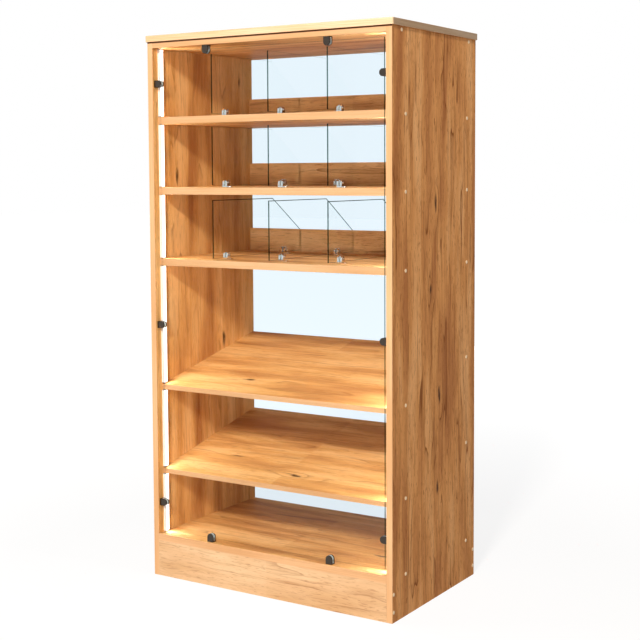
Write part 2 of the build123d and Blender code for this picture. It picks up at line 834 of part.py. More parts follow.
# Mains inlet in the rear plinth board, with a socket and a pit for the rocker
flange_face_y = back_y + inlet_flange_thickness
rocker_pivot_y = flange_face_y - rocker_pivot_depth
rocker_pin_reach = 1.6
rocker_pin_hole_depth = 1.2
with BuildPart() as power_inlet:
    with BuildSketch(Plane.XZ.offset(-flange_face_y)):
        with Locations((0, inlet_z)):
            RectangleRounded(inlet_flange_width, inlet_flange_height, inlet_flange_thickness)
    extrude(amount=inlet_flange_thickness)
    flange_edges = power_inlet.faces().sort_by(Axis.Y)[-1].edges()
    fillet(flange_edges, band_edge_radius)
    with BuildSketch(Plane.XZ.offset(-back_y)):
        with Locations((0, inlet_z)):
            Rectangle(inlet_body_width, inlet_body_height)
    extrude(amount=inlet_body_depth)
    with BuildSketch(Plane.XZ.offset(-flange_face_y)) as socket_sketch:
        with Locations((socket_x, inlet_z)):
            Rectangle(socket_width, socket_height)
        chamfer(socket_sketch.vertices().group_by(Axis.Z)[-1], socket_height * 0.25)
    extrude(amount=socket_depth, mode=Mode.SUBTRACT)
    with BuildSketch(Plane.XZ.offset(-flange_face_y)):
        with Locations((rocker_x, inlet_z)):
            Rectangle(rocker_width + 2 * rocker_side_gap, rocker_height + 2 * rocker_end_gap)
    extrude(amount=rocker_pit_depth, mode=Mode.SUBTRACT)
    with BuildSketch(Plane.YZ.offset(rocker_x)):
        with Locations((rocker_pivot_y, inlet_z)):
            Circle(rocker_pin_diameter / 2 + rocker_pin_clearance)
    extrude(
        amount=rocker_width / 2 + rocker_side_gap + rocker_pin_hole_depth,
        both=True,
        mode=Mode.SUBTRACT,
    )
    for x in (-inlet_screw_x, inlet_screw_x):
        with Locations(Location((x, flange_face_y, inlet_z), (-90, 0, 0))):
            CounterSinkHole(
                inlet_screw_diameter / 2 + fit,
                inlet_screw_head / 2 + fit,
                depth=inlet_flange_thickness,
                counter_sink_angle=90,
            )
save(power_inlet, "power_inlet")

# Contact pins of the inlet: earth pin above the other two
pin_width = 2.0
pin_height = 4.0
pin_spacing = 7.0
pin_raise = 2.0
pin_length = 13.0
with BuildPart() as inlet_pins:
    with BuildSketch(Plane.XZ.offset(socket_depth - flange_face_y)):
        with Locations((socket_x, inlet_z + pin_raise)):
            Rectangle(pin_width, pin_height)
        for side in sides:
            with Locations((socket_x + side * pin_spacing, inlet_z - pin_raise)):
                Rectangle(pin_width, pin_height)
    extrude(amount=-pin_length)
save(inlet_pins, "inlet_pins")

# Rocker, resting with its lower half pressed in
rocker_plane = Plane(
    origin=(rocker_x, rocker_pivot_y, inlet_z),
    x_dir=(0, sin(radians(rocker_tilt)), cos(radians(rocker_tilt))),
    z_dir=(-1, 0, 0),
)
rocker_half = rocker_height / 2
rocker_middle = rocker_pivot_depth + 0.2
rocker_crest = rocker_middle + rocker_half * tan(radians(rocker_tilt))
rocker_skirt = 1.0
rocker_keel = 3.5
with BuildPart() as rocker:
    with BuildSketch(rocker_plane):
        with BuildLine():
            Polyline(
                (-rocker_half, rocker_crest),
                (0, rocker_middle),
                (rocker_half, rocker_crest),
                (rocker_half, rocker_skirt),
                (rocker_keel, -rocker_keel),
                (-rocker_keel, -rocker_keel),
                (-rocker_half, rocker_skirt),
                close=True,
            )
        make_face()
    extrude(amount=rocker_width / 2, both=True)
    with BuildSketch(Plane.YZ.offset(rocker_x)):
        with Locations((rocker_pivot_y, inlet_z)):
            Circle(rocker_pin_diameter / 2)
    extrude(amount=rocker_width / 2 + rocker_pin_reach, both=True)
save(rocker, "rocker")

inlet_screw = countersunk_screw(inlet_screw_diameter, inlet_screw_head, inlet_screw_length)
inlet_screw_places = [
    Location((x, flange_face_y, inlet_z), (-90, 0, 0)) for x in (-inlet_screw_x, inlet_screw_x)
]
with BuildPart() as inlet_screws:
    with Locations(*inlet_screw_places):
        add(inlet_screw)
save(inlet_screws, "inlet_screws")

# Mains lead, pulled straight from the inlet to the driver
mains_lead_rear_y = back_y - inlet_body_depth
mains_lead_front_y = light_y + driver_width / 2
with BuildPart() as mains_lead:
    with BuildSketch(Plane.XZ.offset(-mains_lead_rear_y)):
        with Locations((0, mains_height)):
            Circle(mains_lead_diameter / 2)
    extrude(amount=mains_lead_rear_y - mains_lead_front_y)
save(mains_lead, "mains_lead")

# Stand-off clips that carry the leads under the bottom panel
lead_clip_length = 8.0
lead_clip_wall = 2.0
lead_clip_spread = (0.35, 0.75)
mains_clip_spread = (0.2, 0.5, 0.8)
with BuildPart() as lead_clips:
    for side in sides:
        for part in lead_clip_spread:
            clip_x = side * (lead_end_x + (lead_x - lead_end_x) * part)
            with BuildSketch(Plane.YZ.offset(clip_x)):
                with Locations((light_y, plinth_height)):
                    Rectangle(
                        lead_diameter + 2 * lead_clip_wall,
                        lead_run_drop + lead_diameter / 2 + lead_clip_wall,
                        align=(Align.CENTER, Align.MAX),
                    )
                with Locations((light_y, lead_run_z)):
                    Circle(lead_diameter / 2 + fit, mode=Mode.SUBTRACT)
            extrude(amount=lead_clip_length / 2, both=True)
    for part in mains_clip_spread:
        clip_y = mains_lead_front_y + (mains_lead_rear_y - mains_lead_front_y) * part
        with BuildSketch(Plane.XZ.offset(-clip_y)):
            with Locations((0, plinth_height)):
                Rectangle(
                    mains_lead_diameter + 2 * lead_clip_wall,
                    plinth_height - mains_height + mains_lead_diameter / 2 + lead_clip_wall,
                    align=(Align.CENTER, Align.MAX),
                )
            with Locations((0, mains_height)):
                Circle(mains_lead_diameter / 2 + fit, mode=Mode.SUBTRACT)
        extrude(amount=lead_clip_length / 2, both=True)
save(lead_clips, "lead_clips")

# Assembly screw, modelled once along +X with its head's outer face on x = 0
screw_tip = 3.0
with BuildPart() as assembly_screw:
    with BuildSketch(Plane.YZ):
        Circle(screw_head_diameter / 2)
    extrude(amount=screw_head_height)
    with BuildSketch(Plane.YZ):
        Circle(screw_shank_diameter / 2)
    extrude(amount=side_thickness)
    with BuildSketch(Plane.YZ):
        Circle(screw_core_diameter / 2)
    extrude(amount=screw_length)
    chamfer(assembly_screw.edges().sort_by(Axis.X)[-1], screw_core_diameter * 0.3)
    with BuildSketch(Plane.YZ):
        RegularPolygon(screw_socket / sqrt(3), 6)
    extrude(amount=screw_socket_depth, mode=Mode.SUBTRACT)

with BuildPart() as screw_cap:
    with BuildSketch(Plane.YZ):
        Circle(cap_diameter / 2)
    extrude(amount=-cap_thickness)
    chamfer(screw_cap.faces().sort_by(Axis.X)[0].edges(), cap_thickness / 2)
    with BuildSketch(Plane.YZ):
        RegularPolygon(screw_socket / sqrt(3) - fit, 6)
    extrude(amount=cap_stem_length)

screw_places = [Location((-half_width, y, z)) for y, z in all_sites]
screw_places += [Location((half_width, y, z), (0, 0, 180)) for y, z in all_sites]
for master, label in ((assembly_screw, "assembly_screws"), (screw_cap, "screw_caps")):
    with BuildPart() as screw_group:
        with Locations(*screw_places):
            add(master.part)
    save(screw_group, label)

# Dowels at the rail ends
with BuildPart() as rail_dowels:
    for side in sides:
        with BuildSketch(Plane.YZ.offset(side * (inner_half + dowel_in_side))):
            with Locations(*dowel_sites):
                Circle(dowel_diameter / 2)
        extrude(amount=-side * dowel_length)
save(rail_dowels, "rail_dowels")

# Pan-head screws that hold the slab from below
pan_head_height = 2.6
with BuildPart() as slab_screw:
    with BuildSketch(Plane.XY):
        Circle(small_screw_head / 2)
    extrude(amount=-pan_head_height)
    fillet(slab_screw.faces().sort_by(Axis.Z)[0].edges(), pan_head_height * 0.4)
    with BuildSketch(Plane.XY):
        Circle(small_screw_diameter / 2)
    extrude(amount=slab_screw_length)
    chamfer(slab_screw.edges().sort_by(Axis.Z)[-1], small_screw_diameter * 0.3)
    with BuildSketch(Plane.XY.offset(-pan_head_height)):
        Rectangle(small_screw_head * 0.6, small_screw_head * 0.14)
        Rectangle(small_screw_head * 0.14, small_screw_head * 0.6)
    extrude(amount=pan_head_height * 0.6, mode=Mode.SUBTRACT)

slab_screw_places = [Location((x, y, top_underside + slab_screw_head_recess)) for x, y in slab_screw_sites]
with BuildPart() as slab_screws:
    with Locations(*slab_screw_places):
        add(slab_screw.part)
save(slab_screws, "slab_screws")
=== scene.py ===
# %% [markdown]
# # A shop display cabinet, dressed for its portrait
#
# The cabinet is a tall open-backed carcass of oak-decor board with a glass front,
# three level shelves parted by glass dividers, two slanted shelves and a light
# run behind each front edge. Its boards, glass and fittings come ready made from
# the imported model, in metres, with the floor at z = 0 and the front towards -Y.
# What is left to do here is what a photographer and a finisher do: give every
# piece its real material, set up a pale studio, and aim the camera.

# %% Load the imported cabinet
import math

import bpy
from mathutils import Matrix, Vector

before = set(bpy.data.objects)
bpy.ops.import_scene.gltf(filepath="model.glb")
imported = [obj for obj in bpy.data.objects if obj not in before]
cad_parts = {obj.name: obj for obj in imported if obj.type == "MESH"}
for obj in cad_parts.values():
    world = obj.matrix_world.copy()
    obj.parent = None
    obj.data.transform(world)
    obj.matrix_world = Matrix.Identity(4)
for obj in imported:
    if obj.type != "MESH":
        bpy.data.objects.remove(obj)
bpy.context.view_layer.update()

# %% [markdown]
# ## The camera
#
# The cabinet was photographed from its right, at about head height, from far
# enough away that its uprights stay almost parallel. The camera could be placed
# by eye, but the corners of the boards are known in metres, so its place, turn
# and focal length were worked out from them once and are written here. A lens
# shift keeps the uprights upright while the camera tilts down only a little.

# %% Aim the camera
camera_place = Vector((2.495, -3.876, 1.476))
camera_turn = math.radians(32.42)  # to the left of straight at the glass
camera_tilt = math.radians(4.08)  # down
camera_roll = math.radians(-0.28)
camera_lens = 72.0  # mm, on a sensor 36 mm wide
camera_shift = -0.09

sight = Vector((
    -math.sin(camera_turn) * math.cos(camera_tilt),
    math.cos(camera_turn) * math.cos(camera_tilt),
    -math.sin(camera_tilt),
))
right = Vector((math.cos(camera_turn), math.sin(camera_turn), 0))
up = right.cross(sight)
right, up = (
    right * math.cos(camera_roll) + up * math.sin(camera_roll),
    up * math.cos(camera_roll) - right * math.sin(camera_roll),
)
camera_data = bpy.data.cameras.new("portrait_camera")
camera_data.lens = camera_lens
camera_data.sensor_width = 36
camera_data.shift_y = camera_shift
camera = bpy.data.objects.new("portrait_camera", camera_data)
camera.matrix_world = Matrix((
    (right.x, up.x, -sight.x, camera_place.x),
    (right.y, up.y, -sight.y, camera_place.y),
    (right.z, up.z, -sight.z, camera_place.z),
    (0, 0, 0, 1),
))
bpy.context.scene.collection.objects.link(camera)
bpy.context.scene.camera = camera
print("camera", [round(v, 2) for v in camera_place], "lens", camera_lens, "mm")

# %% [markdown]
# ## A few small helpers
#
# Colours are easiest to pick as the hex values that a paint program shows, but
# shaders work with light, which is linear, so one function turns one into the
# other. Nodes could each be made in three or four lines; one function that makes
# a node, sets it and links it keeps every material below short to read. Every
# material starts with an empty tree, and a few places are read off the packed
# pieces, so there is a function for each of these too.

# %% Colour and node helpers
def linear(code):
    """The linear colour of an sRGB hex value."""
    parts = [int(code[i:i + 2], 16) / 255 for i in (1, 3, 5)]
    return (*(p / 12.92 if p <= 0.04045 else ((p + 0.055) / 1.055) ** 2.4 for p in parts), 1.0)


def add(tree, kind, sockets=None, stops=None, **settings):
    """Adds a node. sockets holds values, or the output sockets that feed its inputs."""
    made = tree.nodes.new(kind)
    for name, value in settings.items():
        setattr(made, name, value)
    for name, value in (sockets or {}).items():
        if isinstance(value, bpy.types.NodeSocket):
            tree.links.new(value, made.inputs[name])
        else:
            made.inputs[name].default_value = value
    if stops:
        ramp = made.color_ramp
        while len(ramp.elements) < len(stops):
            ramp.elements.new(1.0)
        for element, (position, colour) in zip(ramp.elements, stops):
            element.position = position
            element.color = colour
    return made


def grey(value):
    """A grey, as a colour or as a ramp stop that carries a number."""
    return (value, value, value, 1.0)


def new_material(name):
    """A material with an empty node tree, and that tree."""
    made = bpy.data.materials.new(name)
    made.use_nodes = True
    made.node_tree.nodes.clear()
    return made, made.node_tree


def span(name, axis):
    """The lowest and highest place of a node's corners along an axis, in metres."""
    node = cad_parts[name]
    places = [(node.matrix_world @ v.co)["XYZ".index(axis)] for v in node.data.vertices]
    return min(places), max(places)


print("white is", linear("#FFFFFF"), "and the cabinet is", round(span("top_slab", "Z")[1], 3), "m high")

# %% [markdown]
# ## The studio
#
# The photograph has a plain white ground. A floor plane and the world stand in
# for it. Seen by the camera, in a reflection or through glass, the world is
# white at a strength of one; as a lamp it is much weaker, so that it only opens
# the shadows. Through the panes the white looks a breath blue, and that tint is
# given to the ground instead of the glass, which leaves the wood its warmth.

# %% Which rays see the ground
behind_glass = linear("#EBF7FF")


def seen_ground(tree):
    """1 for a ray that shows the ground in the picture and 0 for one that lights, and the ground's colour."""
    path = add(tree, "ShaderNodeLightPath").outputs
    seen = add(tree, "ShaderNodeMath", {0: path["Is Camera Ray"], 1: path["Is Glossy Ray"]}, operation="MAXIMUM")
    seen = add(tree, "ShaderNodeMath", {0: seen.outputs[0], 1: path["Is Transmission Ray"]}, operation="MAXIMUM")
    colour = add(tree, "ShaderNodeMix", {0: path["Is Transmission Ray"], 6: grey(1.0), 7: behind_glass},
                 data_type="RGBA")
    return seen.outputs[0], colour.outputs[2]


print("behind glass the ground is", [round(v, 2) for v in behind_glass[:3]])

# %% The world
ambient_strength = 0.13
world = bpy.data.worlds.new("pale_studio")
bpy.context.scene.world = world
world.use_nodes = True
sky = world.node_tree
sky.nodes.clear()
seen, white_or_blue = seen_ground(sky)
strength = add(sky, "ShaderNodeMapRange", {"Value": seen, "To Min": ambient_strength, "To Max": 1.0})
ground = add(sky, "ShaderNodeBackground", {"Color": white_or_blue, "Strength": strength.outputs[0]})
add(sky, "ShaderNodeOutputWorld", {"Surface": ground.outputs[0]})
print("ambient", ambient_strength)

# %% [markdown]
# The floor glows for the same rays, a little less beside the cabinet than far
# away, and takes the rest of its light from the lamps, so it keeps the cabinet's
# shadow. For all other rays it is a plain grey that throws some light upwards.

# %% The floor
floor_size = 60.0  # metres
floor_grey, shadow_grey = 0.4, 0.16  # how much lamplight it throws on the cabinet, and shows in the picture
glow_near, glow_far = 0.86, 1.0
near_radius, far_radius = 1.2, 4.0  # metres from the cabinet's middle
bpy.ops.object.select_all(action="DESELECT")
bpy.ops.mesh.primitive_plane_add(size=floor_size, location=(0, 0, 0))
floor = bpy.context.object
floor.name = "studio_floor"
paper, tree = new_material("matt_white_background_paper")
seen, white_or_blue = seen_ground(tree)
lit = add(tree, "ShaderNodeBsdfDiffuse", {"Color": grey(floor_grey)})
shown = add(tree, "ShaderNodeBsdfDiffuse", {"Color": grey(shadow_grey)})
place = add(tree, "ShaderNodeTexCoord").outputs["Object"]
away = add(tree, "ShaderNodeVectorMath", {0: place}, operation="LENGTH")
whiter = add(tree, "ShaderNodeMapRange", {"Value": away.outputs["Value"], "From Min": near_radius,
                                          "From Max": far_radius, "To Min": glow_near, "To Max": glow_far})
glow = add(tree, "ShaderNodeEmission", {"Color": white_or_blue, "Strength": whiter.outputs[0]})
shown = add(tree, "ShaderNodeAddShader", {0: shown.outputs[0], 1: glow.outputs[0]})
sheet = add(tree, "ShaderNodeMixShader", {0: seen, 1: lit.outputs[0], 2: shown.outputs[0]})
add(tree, "ShaderNodeOutputMaterial", {"Surface": sheet.outputs[0]})
floor.data.materials.append(paper)
print("floor", floor_size, "m")

# %% [markdown]
# ## The lamps
#
# In the photograph the front edges and the plinth are bright, the right side is
# in shade, and the shelves throw a clean slanting shadow on the left inner wall.
# That is one large lamp high up in front, a little to the right. A second one,
# level with the shelves, reaches the rails at the back, and weak ones on the
# right, the left and the rear open the other sides. Area lamps give soft edges
# as a softbox does; a sun lamp would draw the shadows too hard.

# %% Place the lamps
def softbox(name, place, aim, size, power, colour):
    """A square area lamp of size metres and power watts at place, which looks at aim."""
    lamp = bpy.data.lights.new(name, "AREA")
    lamp.size = size
    lamp.energy = power
    lamp.color = linear(colour)[:3]
    made = bpy.data.objects.new(name, lamp)
    made.location = place
    made.rotation_euler = (Vector(aim) - Vector(place)).to_track_quat("-Z", "Y").to_euler()
    bpy.context.scene.collection.objects.link(made)


softbox("key_softbox", (2.8, -9.0, 6.3), (0, 0, 1.0), 1.2, 1150, "#FFF8F0")
softbox("front_softbox", (2.6, -8.0, 1.2), (0, 0, 1.0), 1.2, 205, "#FFF8F0")
softbox("right_softbox", (3.0, 0.4, 2.9), (0.5, 0, 1.2), 1.0, 15, "#FFF4E8")
softbox("left_softbox", (-5.0, -2.5, 3.0), (0, 0, 1.0), 2.5, 80, "#FFFFFF")
softbox("rear_softbox", (-1.5, 6.0, 1.0), (0, 0, 1.0), 2.0, 60, "#FFFFFF")

# %% [markdown]
# ## The oak-decor board
#
# The boards are chipboard pressed with a printed melamine paper: the decor. It
# copies planks of craft oak, so it has long staves of slightly different tone,
# flame-shaped growth lines, dark streaks, short pores and now and then a knot
# with a crack. An image of such paper would be simplest, but then it would
# repeat and would need a layout on each face. A pattern made in space, stretched
# a long way along the grain, cuts through every board differently, as veneer
# from one log does, and needs no layout.
#
# Every layer below starts from millimetres: first along the grain, then across.

# %% Grain space
METRE = 1000.0  # millimetres


def grain_space(tree, grain):
    """Object coordinates in millimetres, turned so that the first runs along the grain."""
    place = add(tree, "ShaderNodeTexCoord").outputs["Object"]
    parts = add(tree, "ShaderNodeSeparateXYZ", {0: place}).outputs
    order = {"X": (0, 1, 2), "Z": (2, 1, 0)}[grain]
    turned = add(tree, "ShaderNodeCombineXYZ", {i: parts[axis] for i, axis in enumerate(order)})
    return add(tree, "ShaderNodeVectorMath", {0: turned.outputs[0], "Scale": METRE}, operation="SCALE").outputs[0]


def in_cells(tree, space, long, wide):
    """The same space in cells that are long mm along the grain and wide mm across it."""
    return add(tree, "ShaderNodeVectorMath", {0: space, 1: (1 / long, 1 / wide, 1 / wide)},
               operation="MULTIPLY").outputs[0]


print("grain runs along X on shelves and along Z on the sides")

# %% [markdown]
# Real grain is never ruled straight: the fibres swing a few millimetres from side
# to side. So the space itself is pushed about before anything is drawn in it, and
# every layer below then swings together.

# %% Swinging grain
swing_long, swing_wide = 240.0, 60.0  # mm
swing_reach = 22.0  # mm, from one side to the other


def swung(tree, space):
    """The same space with the fibres swinging across the grain."""
    swing = add(tree, "ShaderNodeTexNoise",
                {"Vector": in_cells(tree, space, swing_long, swing_wide), "Scale": 1.0, "Detail": 2.0})
    swing = add(tree, "ShaderNodeVectorMath", {0: swing.outputs["Color"], 1: (0.0, swing_reach, swing_reach)},
                operation="MULTIPLY")
    return add(tree, "ShaderNodeVectorMath", {0: space, 1: swing.outputs[0]}, operation="ADD").outputs[0]


print("fibres swing over", swing_reach, "mm")

# %% [markdown]
# The staves of a craft-oak decor are roughly 100 mm wide. Each gets its own tone
# from a white-noise lookup on its number, and a slow noise along the board adds
# the drift of colour that real planks have.

# %% Staves
stave_width = 96.0  # mm, a plank of the printed decor
stave_share = 0.34  # of the tone; the drift has the rest
drift_long, drift_wide = 520.0, 74.0  # mm, slow change of tone
drift_low, drift_high = 0.36, 0.64  # where the noise is taken as palest and as deepest


def stave_tone(tree, space):
    """0 for the palest wood to 1 for the deepest."""
    numbers = add(tree, "ShaderNodeVectorMath", {0: in_cells(tree, space, 1e6, stave_width)}, operation="FLOOR")
    stave = add(tree, "ShaderNodeTexWhiteNoise", {"Vector": numbers.outputs[0]}, noise_dimensions="3D")
    drift = add(tree, "ShaderNodeTexNoise",
                {"Vector": in_cells(tree, space, drift_long, drift_wide), "Scale": 1.0, "Detail": 2.5,
                 "Roughness": 0.5})
    drift = add(tree, "ShaderNodeMapRange", {"Value": drift.outputs[0], "From Min": drift_low, "From Max": drift_high,
                                             "To Min": 0.0, "To Max": 1.0 - stave_share})
    return add(tree, "ShaderNodeMath", {0: stave.outputs["Value"], 1: stave_share, 2: drift.outputs[0]},
               operation="MULTIPLY_ADD", use_clamp=True).outputs[0]


print("staves", stave_width, "mm wide")

# %% [markdown]
# A knot is where a branch left the trunk: a dark, ragged heart, often torn open
# along the grain, and growth lines that flow round it. Voronoi cells set the knots
# apart by about the spacing in the photograph, and a threshold on each cell's own
# colour leaves some cells bare.

# %% Knots
knot_long, knot_wide = 330.0, 92.0  # mm, spacing along and across the grain
knot_share = 0.55  # of the cells
heart_core, heart_edge = 0.14, 0.22  # of a cell: full dark within the first, none past the second
heart_rag = 0.2  # of a cell, how far the heart's outline is ragged
rag_long, rag_wide = 34.0, 6.0  # mm
bulge_radius = 0.5  # of a cell


def knots(tree, space):
    """Two numbers: how much a point is in a knot's heart, and how far the lines bulge round it."""
    cells = add(tree, "ShaderNodeTexVoronoi",
                {"Vector": in_cells(tree, space, knot_long, knot_wide), "Scale": 1.0, "Randomness": 1.0})
    chosen = add(tree, "ShaderNodeSeparateColor", {0: cells.outputs["Color"]})
    chosen = add(tree, "ShaderNodeMath", {0: chosen.outputs[0], 1: knot_share}, operation="LESS_THAN")
    ragged = add(tree, "ShaderNodeTexNoise",
                 {"Vector": in_cells(tree, space, rag_long, rag_wide), "Scale": 1.0, "Detail": 2.0})
    reach = add(tree, "ShaderNodeMath", {0: ragged.outputs[0], 1: heart_rag, 2: cells.outputs["Distance"]},
                operation="MULTIPLY_ADD")
    heart = add(tree, "ShaderNodeMapRange", {"Value": reach.outputs[0], "From Min": heart_edge,
                                             "From Max": heart_core}, interpolation_type="SMOOTHSTEP")
    bulge = add(tree, "ShaderNodeMapRange", {"Value": cells.outputs["Distance"], "From Min": bulge_radius,
                                             "From Max": 0.0}, interpolation_type="SMOOTHSTEP")
    heart = add(tree, "ShaderNodeMath", {0: heart.outputs[0], 1: chosen.outputs[0]}, operation="MULTIPLY")
    bulge = add(tree, "ShaderNodeMath", {0: bulge.outputs[0], 1: chosen.outputs[0]}, operation="MULTIPLY")
    return heart.outputs[0], bulge.outputs[0]


print("knots every", knot_long, "x", knot_wide, "mm, in", knot_share, "of the cells")

# %% [markdown]
# Growth lines are the contour lines of a slowly changing height, as on a map: a
# board sawn flat cuts the tree's rings in long flames. So a stretched noise is
# multiplied up and only its fraction kept, which gives one sharp-edged line per
# ring, and the knots' bulge is added before that, so that the lines part there.
# A second noise fades whole stretches of line out, as the print does.
#
# Streaks, ticks and pores are one and the same thing at different sizes: a noise
# drawn out along the grain, of which only the top shows. So each is five numbers.

# %% Growth lines and fibres
ring_long, ring_wide = 880.0, 92.0  # mm, size of a flame
rings_per_flame = 6.0
rings_round_knot = 0.9  # how many rings a knot pushes aside
line_profile = ((0.0, 0.0), (0.68, 0.06), (0.9, 0.42), (0.955, 1.0), (0.98, 1.0), (1.0, 0.0))  # across one ring
# Each layer of marks: mm along and across the grain, the noise from which it shows and at which it is full,
# and the noise's detail.
clear_stretches = (360.0, 50.0, 0.47, 0.62, 1.0)  # of growth line, faded out between them
streak_marks = (340.0, 8.0, 0.54, 0.68, 2.0)
tick_marks = (34.0, 3.2, 0.6, 0.68, 1.0)  # short and dark, beside knots
pore_marks = (90.0, 2.4, 0.4, 0.7, 2.0)  # real pores are a quarter as wide, too fine to show


def fibre(tree, space, long, wide, low, high, detail):
    """Marks that are long mm along the grain and wide mm across, where the noise passes low to high."""
    marks = add(tree, "ShaderNodeTexNoise",
                {"Vector": in_cells(tree, space, long, wide), "Scale": 1.0, "Detail": detail, "Roughness": 0.6})
    return add(tree, "ShaderNodeMapRange", {"Value": marks.outputs[0], "From Min": low, "From Max": high},
               interpolation_type="SMOOTHSTEP").outputs[0]


def growth_lines(tree, space, bulge):
    """1 on a growth line, with a soft shade on one side of it."""
    height = add(tree, "ShaderNodeTexNoise",
                 {"Vector": in_cells(tree, space, ring_long, ring_wide), "Scale": 1.0, "Detail": 2.0,
                  "Roughness": 0.42})
    height = add(tree, "ShaderNodeMath", {0: height.outputs[0], 1: rings_per_flame}, operation="MULTIPLY")
    height = add(tree, "ShaderNodeMath", {0: bulge, 1: rings_round_knot, 2: height.outputs[0]},
                 operation="MULTIPLY_ADD")
    ring = add(tree, "ShaderNodeMath", {0: height.outputs[0]}, operation="FRACT")
    line = add(tree, "ShaderNodeValToRGB", {"Fac": ring.outputs[0]},
               stops=[(place, grey(amount)) for place, amount in line_profile])
    clear = fibre(tree, space, *clear_stretches)
    return add(tree, "ShaderNodeMath", {0: line.outputs[0], 1: clear}, operation="MULTIPLY").outputs[0]


print("streaks", streak_marks[0], "mm long, ticks", tick_marks[0], "mm, pores", pore_marks[0], "mm")

# %% [markdown]
# Only a board's two broad faces carry the decor paper. Its long edges are closed
# with a thin paper of one tone with faint lines, five numbers again, and its sawn
# ends show the chipboard itself: pressed chips a few millimetres long in glue.
# Which face a point is on is read from the surface's own direction, so one
# material serves the whole board.

# %% Edge and core
chip_size = 3.5  # mm
paper_lines = (180.0, 3.0, 0.35, 0.7, 3.0)


def plain_band(tree, space):
    """A thin edging paper: one tone with faint lines along it."""
    lines = fibre(tree, space, *paper_lines)
    return add(tree, "ShaderNodeMix", {0: lines, 6: linear("#E9BE8C"), 7: linear("#D6A36C")},
               data_type="RGBA").outputs[2]


def chip_core(tree, space):
    """Pressed chips, each with a tone of its own."""
    chips = add(tree, "ShaderNodeTexVoronoi",
                {"Vector": in_cells(tree, space, chip_size, chip_size), "Scale": 1.0, "Randomness": 1.0})
    tone = add(tree, "ShaderNodeSeparateColor", {0: chips.outputs["Color"]})
    return add(tree, "ShaderNodeValToRGB", {"Fac": tone.outputs[0]},
               stops=[(0.0, linear("#8E6C48")), (0.5, linear("#BE9A6C")), (1.0, linear("#DCC096"))]).outputs[0]


def faces_towards(tree, axis):
    """1 on the faces that look along an axis, either way."""
    normal = add(tree, "ShaderNodeTexCoord").outputs["Normal"]
    part = add(tree, "ShaderNodeSeparateXYZ", {0: normal}).outputs["XYZ".index(axis)]
    part = add(tree, "ShaderNodeMath", {0: part}, operation="ABSOLUTE")
    return add(tree, "ShaderNodeMath", {0: part.outputs[0], 1: 0.9}, operation="GREATER_THAN").outputs[0]


print("chips", chip_size, "mm")

# %% [markdown]
# Now the layers are laid over one another, from the palest to the darkest, as the
# printer does it. The melamine skin over the print is hard and satin, with an IOR
# of 1.5. This one is pressed so matt that the shelves show no bright ground at a
# low angle, so its mirror part is turned well down and its roughness is 0.5. The
# pores are pressed in a tenth of a millimetre.

# %% The board material
gold_oak = [linear(code) for code in ("#EBBC7D", "#DCA561", "#B77B44")]  # pale, middle and deep
warm_oak = [linear(code) for code in ("#F0B57A", "#DF9E60", "#B67544")]
rail_oak = [linear(code) for code in ("#EFC68E", "#E4B377", "#C28C5A")]
pale_oak = [linear(code) for code in ("#E4C096", "#DCB388", "#C89B6C")]
tone_places = (0.1, 0.5, 0.95)  # of the staves' tone, where the three colours stand
line_colour, streak_colour, knot_colour = linear("#854C1F"), linear("#8A5228"), linear("#3D2010")
melamine_ior = 1.5
melamine_mirror = 0.05  # 0.5 is a plain skin of that IOR
melamine_roughness = 0.5
mark_roughness = 0.12  # more, in pores and ticks
pore_depth = 0.0001  # metres


def oak_board(name, grain, face, end, tones, depth):
    """Melamine-faced chipboard. Its grain runs along the axis grain, its broad faces and its sawn ends look
    along face and end, tones are its pale, middle and deep colours, and depth is how dark its marks are."""
    made, tree = new_material(name)
    straight = grain_space(tree, grain)
    space = swung(tree, straight)
    heart, bulge = knots(tree, space)
    lines = growth_lines(tree, space, bulge)
    streaks = fibre(tree, space, *streak_marks)
    ticks = fibre(tree, space, *tick_marks)
    pores = fibre(tree, space, *pore_marks)
    colour = add(tree, "ShaderNodeValToRGB", {"Fac": stave_tone(tree, space)},
                 stops=list(zip(tone_places, tones))).outputs[0]
    for mark, amount, tint in ((pores, 0.16 * depth, streak_colour), (streaks, 0.42 * depth, streak_colour),
                               (lines, 0.8 * depth, line_colour), (ticks, 0.55 * depth, streak_colour),
                               (heart, 0.9, knot_colour)):
        part = add(tree, "ShaderNodeMath", {0: mark, 1: amount}, operation="MULTIPLY")
        colour = add(tree, "ShaderNodeMix", {0: part.outputs[0], 6: colour, 7: tint},
                     data_type="RGBA").outputs[2]
    colour = add(tree, "ShaderNodeMix", {0: faces_towards(tree, face), 6: plain_band(tree, straight), 7: colour},
                 data_type="RGBA").outputs[2]
    colour = add(tree, "ShaderNodeMix", {0: faces_towards(tree, end), 6: colour, 7: chip_core(tree, straight)},
                 data_type="RGBA").outputs[2]
    marks = add(tree, "ShaderNodeMath", {0: ticks, 1: pores}, operation="ADD")
    height = add(tree, "ShaderNodeMath", {0: 1.0, 1: marks.outputs[0]}, operation="SUBTRACT")
    relief = add(tree, "ShaderNodeBump", {"Height": height.outputs[0], "Strength": 0.35, "Distance": pore_depth})
    shine = add(tree, "ShaderNodeMapRange", {"Value": marks.outputs[0], "To Min": melamine_roughness,
                                             "To Max": melamine_roughness + mark_roughness})
    skin = add(tree, "ShaderNodeBsdfPrincipled",
               {"Base Color": colour, "Roughness": shine.outputs[0], "IOR": melamine_ior,
                "Specular IOR Level": melamine_mirror, "Normal": relief.outputs[0]})
    add(tree, "ShaderNodeOutputMaterial", {"Surface": skin.outputs[0]})
    return made


